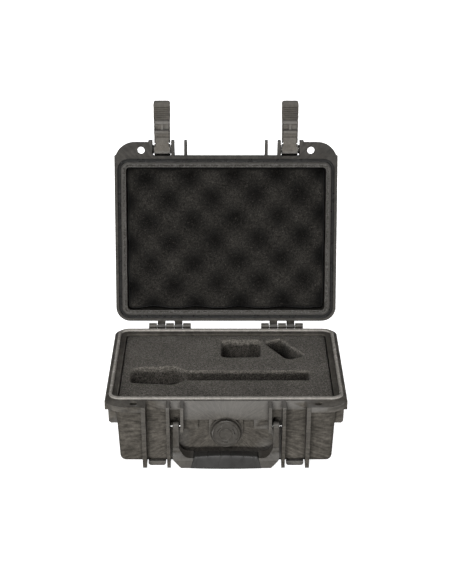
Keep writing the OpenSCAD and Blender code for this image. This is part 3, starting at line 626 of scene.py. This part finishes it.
def make_gasket():
    """A soft seal in the lid's groove: flat at its back, hollow between two lips at its face."""
    section = [(-1.8, 0.0), (-1.85, -1.0), (-1.85, -2.4), (-1.7, -2.75), (-1.5, -2.8), (-1.2, -2.55),
               (-0.7, -1.9), (0.0, -1.65), (0.7, -1.9), (1.2, -2.55), (1.5, -2.8), (1.7, -2.75),
               (1.85, -2.4), (1.85, -1.0), (1.8, 0.0)]
    points, faces = swept(section, GASKET_IN, GASKET_TOP)
    gasket = from_points("gasket_bead", points, faces, SEAL, OPEN_LID)
    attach(gasket, "lid")
    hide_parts("lid_gasket")


# The grip's section and seams, in millimetres on the closed handle
GRIP_SECTION = ((-93.8, 8.7), (-101.0, 8.7), (-103.4, 10.0), (-104.0, 12.7), (-104.0, 18.4),
                (-103.2, 20.6), (-101.4, 21.6), (-94.0, 20.8), (-88.6, 19.9), (-87.0, 18.4),
                (-86.8, 13.0), (-89.0, 9.8))
GRIP_MIDDLE = Vector((-95.4, 15.0))
GRIP_LOW = 8.7
GRIP_HIGH = 21.6
GRIP_TOP_HALF = 30.4
GRIP_LOW_HALF = 34.9
GRIP_CROWN = 1.3
GRIP_BOW = 0.7
# Half distances of the seams from the middle, at the grip's top and at its low edge
SEAMS = ((26.5, 29.3), (17.4, 14.1), (4.6, 9.0))
SEAM_FROM = 11.5
SEAM_DEPTH = 0.55
SEAM_W = 0.55
END_ROUND = 0.9
END_DEPTH = 0.8


def smooth_loop(corners, step):
    """Evenly spaced points on a closed Catmull-Rom curve through the corners."""
    dense = []
    n = len(corners)
    for k in range(n):
        p0, p1, p2, p3 = (Vector(corners[(k + o) % n] + (0,)) for o in (-1, 0, 1, 2))
        for s in range(12):
            t = s / 12
            dense.append(0.5 * (2 * p1 + (p2 - p0) * t + (2 * p0 - 5 * p1 + 4 * p2 - p3) * t * t
                                + (3 * p1 - p0 - 3 * p2 + p3) * t ** 3))
    lengths = [(dense[(k + 1) % len(dense)] - dense[k]).length for k in range(len(dense))]
    count = round(sum(lengths) / step)
    points, k, along = [], 0, 0.0
    for i in range(count):
        want = i * sum(lengths) / count
        while along + lengths[k] < want:
            along += lengths[k]
            k += 1
        t = (want - along) / lengths[k]
        points.append(dense[k].lerp(dense[(k + 1) % len(dense)], t).to_2d())
    return points


def grip_depth(x, z, rise, end):
    """How deep the sleeve's skin sinks at a place: in its seams and round its ends."""
    depth = 0.0
    if z > SEAM_FROM:
        for top, low in SEAMS:
            seam = low + (top - low) * rise
            depth = max(depth, SEAM_DEPTH * math.exp(-((abs(x) - seam) / SEAM_W) ** 2))
    to_end = end - abs(x)
    return max(depth, END_DEPTH * max(0.0, 1 - to_end / END_ROUND) ** 2)


def make_grip():
    """The soft sleeve over the handle's bar, crowned, bowed and seamed."""
    loop = smooth_loop(GRIP_SECTION, 0.55)
    count = len(loop)
    half_steps = 64
    points, faces = [], []
    for i in range(2 * half_steps + 1):
        share = i / half_steps - 1
        arch = 1 - share * share
        for y, z in loop:
            rise = min(max((z - GRIP_LOW) / (GRIP_HIGH - GRIP_LOW), 0), 1)
            end = GRIP_LOW_HALF + (GRIP_TOP_HALF - GRIP_LOW_HALF) * rise
            x = share * end
            z = z + GRIP_CROWN * arch * rise - GRIP_BOW * arch * (1 - rise)
            inward = (GRIP_MIDDLE - Vector((y, z))).normalized() * grip_depth(x, z, rise, end)
            points.append((x, y + inward.x, z + inward.y))
        if i:
            a = (i - 1) * count
            b = i * count
            faces += [(a + k, b + k, b + (k + 1) % count, a + (k + 1) % count) for k in range(count)]
    faces.append(tuple(range(count)))
    faces.append(tuple(range(len(points) - count, len(points))))
    grip = from_points("grip_sleeve", points, faces, GRIP)
    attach(grip, "handle")
    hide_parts("handle_grip")


# ---------------------------------------------------------------- moulded details

def prism(profile, x, width):
    """Points and faces of a profile, drawn in (y, z), extruded along X about a middle."""
    count = len(profile)
    points = [(x + side * width / 2, y, z) for side in (-1, 1) for y, z in profile]
    faces = [tuple(range(count)), tuple(range(2 * count - 1, count - 1, -1))]
    faces += [(k, (k + 1) % count, count + (k + 1) % count, count + k) for k in range(count)]
    return points, faces


def arc(y, z, r, start, end, steps):
    """Points of an arc about a centre, from one angle to another in degrees."""
    angles = [math.radians(start + (end - start) * k / steps) for k in range(steps + 1)]
    return [(y + r * math.cos(angle), z + r * math.sin(angle)) for angle in angles]


def fused(name, shapes, mat, place, width):
    """One piece from closed shapes: each is joined to the first, and the edges are rounded."""
    first = from_points(name, *shapes[0], mat, place)
    helpers = []
    for k, shape in enumerate(shapes[1:]):
        helper = from_points(name + "_part", *shape, mat, place)
        join = first.modifiers.new("join%d" % k, "BOOLEAN")
        join.operation = "UNION"
        join.solver = "EXACT"
        join.object = helper
        helpers.append(helper)
    applied(first)
    for helper in helpers:
        bpy.data.objects.remove(helper)
    round_edges(first, width)
    return first


# The front feet, in millimetres: middle, half width, height, rounding and reach from front to back
FOOT_X = 67.3
FOOT_HALF = 8.5
FOOT_H = 4.5
FOOT_R = 2.5
FOOT_Y = (-79.0, -67.0)


def make_feet():
    """Low feet between the outer ribs at the front, larger and rounder than the plain ones."""
    flat = FOOT_HALF - FOOT_R
    outline = [(-FOOT_HALF, FOOT_H)] + arc(-flat, FOOT_R, FOOT_R, 180, 270, 6)
    outline += arc(flat, FOOT_R, FOOT_R, 270, 360, 6) + [(FOOT_HALF, FOOT_H)]
    count = len(outline)
    for side_name, side in (("left", -1), ("right", 1)):
        points = [(side * FOOT_X + u, y, z) for y in FOOT_Y for u, z in outline]
        faces = [tuple(range(count)), tuple(range(2 * count - 1, count - 1, -1))]
        faces += [(k, (k + 1) % count, count + (k + 1) % count, count + k) for k in range(count)]
        foot = fused("foot_" + side_name, [(points, faces)], BASE_CASE, None, 0.4)
        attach(foot, "base")


# The latches, drawn closed in (y, z) about their pins, +y towards the case, in millimetres
LATCH_X = 66.6
LATCH_PIN_Y = -94.0
LATCH_PIN_Z = 84.0
LATCH_OPEN = math.radians(79.7)
LATCH_W = 16.6
SIDE_T = 1.1
CLAW_W = LATCH_W - 2 * SIDE_T - 0.5
BARREL_R = 5.6
PLATE_BACK = 4.6
PLATE_FRONT = 1.6
SUNK_BACK = 2.8
HOOK_Z = -19.3
HOOK_Y = 10.2
HOOK_T = 3.2
LINK_Y = 2.0
LINK_Z = -29.8
LINK_R = 2.45
SKIN_Y = -3.8
LEVER_TOP = -7.0
PULL_TOP = -32.65
PULL_W = 17.3
TIP_Z = -51.5
RIDGES = 6
RIDGE_PITCH = 2.1


def latch_place(side):
    """From a latch's drawing about its pin to its place on the open lid."""
    return (OPEN_LID @ Matrix.Translation(Vector((side * LATCH_X, LATCH_PIN_Y, LATCH_PIN_Z)) * MM)
            @ Matrix.Rotation(-LATCH_OPEN, 4, "X"))


def make_claw(side_name, side):
    """The claw: a block on the pin, a plate with a sunk part, the hook, a rib and the link's ledge."""
    flat = math.degrees(math.acos(PLATE_BACK / BARREL_R))
    block = arc(0, 0, BARREL_R, flat, 360 - flat, 28)
    ear = [(-5.2, 0), (-1, 0), (-1, 8.6), (-2, 9.6), (-4.2, 9.6), (-5.2, 8.6)]
    plate = [(PLATE_FRONT, 0), (PLATE_BACK, 0), (PLATE_BACK, -13.4), (SUNK_BACK, -14.6),
             (SUNK_BACK, HOOK_Z), (HOOK_Y - 1, HOOK_Z), (HOOK_Y, HOOK_Z - 1), (HOOK_Y, HOOK_Z - HOOK_T),
             (SUNK_BACK, HOOK_Z - HOOK_T), (SUNK_BACK, LINK_Z + 1.6), (PLATE_BACK - 0.4, LINK_Z + 1.6),
             (PLATE_BACK, LINK_Z + 1.1), (PLATE_BACK, LINK_Z - 1.2), (PLATE_BACK - 0.4, LINK_Z - 1.6),
             (PLATE_FRONT, LINK_Z - 1.6)]
    eye = arc(LINK_Y, LINK_Z, LINK_R, 0, 345, 23)
    rib = [(PLATE_FRONT, HOOK_Z - HOOK_T + 1), (PLATE_BACK, HOOK_Z - HOOK_T + 1),
           (PLATE_BACK - 0.4, LINK_Z), (PLATE_FRONT, LINK_Z)]
    shapes = [prism(block, 0, LATCH_W), prism(ear, 0, LATCH_W), prism(plate, 0, CLAW_W),
              prism(eye, 0, CLAW_W), prism(rib, 0, 2.6)]
    claw = fused("claw_" + side_name, shapes, CLAW, latch_place(side), 0.3)
    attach(claw, "claw_" + side_name)
    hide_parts("latch_claw_" + side_name)
    mark = make_ring("gate_mark_" + side_name, 1.55, 0.28, (0, PLATE_BACK, 0.9), CLAW,
                     latch_place(side))
    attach(mark, "claw_" + side_name)


def make_ring(name, radius, thick, centre, mat, place):
    """A fine raised ring on a face that looks along Y."""
    round_steps, steps = 32, 8
    points, faces = [], []
    for i in range(round_steps):
        a = 2 * math.pi * i / round_steps
        for j in range(steps):
            b = 2 * math.pi * j / steps
            far = radius + thick * math.cos(b)
            points.append((centre[0] + far * math.cos(a), centre[1] + thick * math.sin(b),
                           centre[2] + far * math.sin(a)))
            n, m = (i + 1) % round_steps, (j + 1) % steps
            faces.append((i * steps + j, n * steps + j, n * steps + m, i * steps + m))
    return from_points(name, points, faces, mat, place)


def round_tipped(profile, width, r):
    """The pull's profile as a prism whose two corners at the tip are rounded."""
    steps = 6
    edge = []
    for k in range(steps + 1):
        turn = math.radians(90 * k / steps)
        edge.append((width / 2 - r + r * math.sin(turn), TIP_Z + r - r * math.cos(turn)))
    stations = [(-x, tip) for x, tip in reversed(edge)] + edge
    points = [(x, y, max(z, tip)) for x, tip in stations for y, z in profile]
    count = len(profile)
    last = (len(stations) - 1) * count
    faces = [tuple(range(count)), tuple(range(last + count - 1, last - 1, -1))]
    for a in range(0, last, count):
        faces += [(a + k, a + (k + 1) % count, a + count + (k + 1) % count, a + count + k)
                  for k in range(count)]
    return points, faces


def make_lever(side_name, side):
    """The lever: side walls, outer skin and the pull, ridged on the side that fingers reach."""
    walls = [(SKIN_Y, LEVER_TOP), (1.5, LEVER_TOP), (PLATE_BACK - 0.6, HOOK_Z - 1),
             (PLATE_BACK - 0.1, LINK_Z + 1.6), (PLATE_BACK - 0.1, PULL_TOP - 1), (SKIN_Y, PULL_TOP - 1)]
    skin = [(SKIN_Y, LEVER_TOP), (SKIN_Y + 2, LEVER_TOP), (SKIN_Y + 2, PULL_TOP - 1),
            (SKIN_Y, PULL_TOP - 1)]
    face = PLATE_BACK - 1.7
    last = PULL_TOP - 0.7 - RIDGES * RIDGE_PITCH
    pull = [(SKIN_Y, PULL_TOP), (SKIN_Y - 0.6, -41.2), (SKIN_Y - 0.2, TIP_Z), (SKIN_Y + 4.5, TIP_Z),
            (face + 0.8, TIP_Z + 3), (face + 0.8, last - 0.5), (face, last)]
    for k in range(RIDGES):
        low = last + k * RIDGE_PITCH
        pull += [(face, low + 0.25), (face + 0.8, low + 0.65), (face + 0.8, low + 1.25),
                 (face, low + 1.65)]
    pull += [(face, PULL_TOP)]
    shapes = [prism(skin, 0, LATCH_W), prism(walls, (LATCH_W - SIDE_T) / 2, SIDE_T),
              prism(walls, -(LATCH_W - SIDE_T) / 2, SIDE_T), round_tipped(pull, PULL_W, 2.4)]
    lever = fused("lever_" + side_name, shapes, LEVER, latch_place(side), 0.25)
    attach(lever, "lever_" + side_name)
    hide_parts("latch_lever_" + side_name)


make_base_foam()
make_lid_foam()
make_gasket()
make_grip()
make_tongue()
make_lid_land()
make_feet()
for latch_name, latch_side in (("left", -1), ("right", 1)):
    make_claw(latch_name, latch_side)
    make_lever(latch_name, latch_side)


# ---------------------------------------------------------------- floor, lights and camera

# In metres: the floor's half width, and the point on the case that the lights look at
FLOOR_HALF = 60.0
AIM = (0, 0, 0.12)
SHEET_GLOW = 0.93

# The camera fitted to the photograph
CAMERA_AT = (0, -1.4617, 0.7345)
CAMERA_DOWN = 21.75
CAMERA_LENS = 97.86


def make_floor():
    """A white sheet that shows as the photograph's plain ground and takes a faint shadow."""
    half = FLOOR_HALF
    mesh = bpy.data.meshes.new("floor")
    mesh.from_pydata([(-half, -half, 0), (half, -half, 0), (half, half, 0), (-half, half, 0)], [],
                     [(0, 1, 2, 3)])
    t = Tree("floor_paper", 0.9)
    t.set("Base Color", t.mix(t.noise(3.0), grey(0.66), grey(0.7)))
    t.set("Specular IOR Level", 0.0)
    t.set("Emission Color", grey(1.0))
    t.set("Emission Strength", SHEET_GLOW)
    floor = new_object("floor", mesh, t.mat)
    floor.visible_diffuse = False
    floor.visible_glossy = False


def area_light(name, at, target, size, energy, glossy=True, diffuse=True):
    """A soft box in watts, aimed at a target, that may be hidden from glossy or diffuse rays."""
    light = bpy.data.lights.new(name, "AREA")
    light.shape = "RECTANGLE"
    light.size = size[0]
    light.size_y = size[1]
    light.energy = energy
    obj = bpy.data.objects.new(name, light)
    obj.location = at
    aim = Vector(target) - Vector(at)
    obj.rotation_euler = aim.to_track_quat("-Z", "Y").to_euler()
    obj.visible_glossy = glossy
    obj.visible_diffuse = diffuse
    bpy.context.scene.collection.objects.link(obj)


def make_lights():
    """Soft boxes in front, above, at the sides and behind, and a world that is dim below."""
    world = bpy.data.worlds.new("studio")
    bpy.context.scene.world = world
    world.use_nodes = True
    nodes = world.node_tree.nodes
    links = world.node_tree.links
    coord = nodes.new("ShaderNodeTexCoord")
    split = nodes.new("ShaderNodeSeparateXYZ")
    rise = nodes.new("ShaderNodeMapRange")
    links.new(coord.outputs["Generated"], split.inputs["Vector"])
    links.new(split.outputs["Z"], rise.inputs["Value"])
    rise.inputs["From Min"].default_value = -0.35
    rise.inputs["From Max"].default_value = 0.5
    rise.inputs["To Min"].default_value = 0.02
    rise.inputs["To Max"].default_value = 0.15
    back = nodes["Background"]
    back.inputs["Color"].default_value = tone(1.0, 0.985, 0.96)
    links.new(rise.outputs["Result"], back.inputs["Strength"])
    area_light("key", (-0.45, -1.75, 0.98), AIM, (0.6, 0.4), 15, glossy=False)
    area_light("front", (-0.1, -2.2, 0.30), AIM, (1.2, 0.25), 56, glossy=False)
    area_light("strip", (0, -1.0, 1.7), (0, 0, 0.1), (1.6, 0.15), 17, diffuse=False)
    for name, side in (("left", -1), ("right", 1)):
        area_light(name, (side * 2.2, 0.35, 0.7), AIM, (1.0, 0.7), 26, glossy=False)
    area_light("back", (0, 2.3, 0.9), AIM, (1.4, 0.7), 42, glossy=False)


def make_camera():
    """The photograph's camera, level from side to side and tilted down."""
    data = bpy.data.cameras.new("camera")
    data.lens = CAMERA_LENS
    data.sensor_width = 36
    data.clip_end = 50
    camera = bpy.data.objects.new("camera", data)
    camera.location = CAMERA_AT
    camera.rotation_euler = (math.radians(90 - CAMERA_DOWN), 0, 0)
    bpy.context.scene.collection.objects.link(camera)
    bpy.context.scene.camera = camera


make_floor()
make_lights()
make_camera()
bpy.context.scene.view_settings.view_transform = "Standard"
